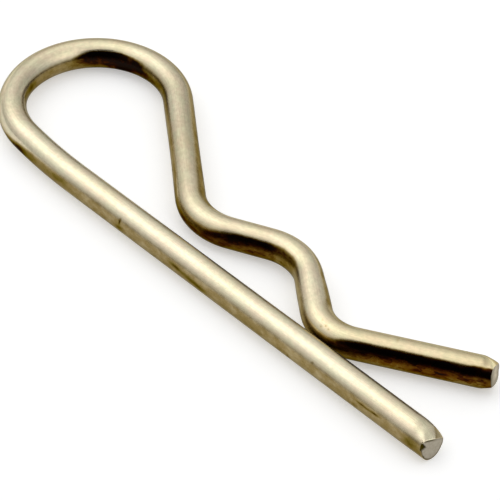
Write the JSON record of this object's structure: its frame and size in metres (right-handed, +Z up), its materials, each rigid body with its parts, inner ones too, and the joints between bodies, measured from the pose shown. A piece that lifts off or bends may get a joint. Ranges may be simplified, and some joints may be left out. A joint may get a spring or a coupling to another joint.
{
  "type": "hairpin clip",
  "caption": "Hairpin clip of round spring wire: a straight leg, an open loop and a wavy leg with a saddle that snaps over a shaft while the straight leg passes through its cross hole.",
  "frame": {"origin": "the point of the straight leg's axis that lies on the held shaft's axis, under the crown of the saddle", "axes": "+X along the straight leg towards its free end, +Y across to the bent leg, +Z up, square to the flat of the clip and along the held shaft"},
  "size_m": [0.0952, 0.0297, 0.0044],
  "materials": {
    "plated_wire": "satin drawn spring steel with a pale yellow zinc plate"
  },
  "bodies": {
    "root": {"spring_wire": "plated_wire"}
  },
  "joints": []
}
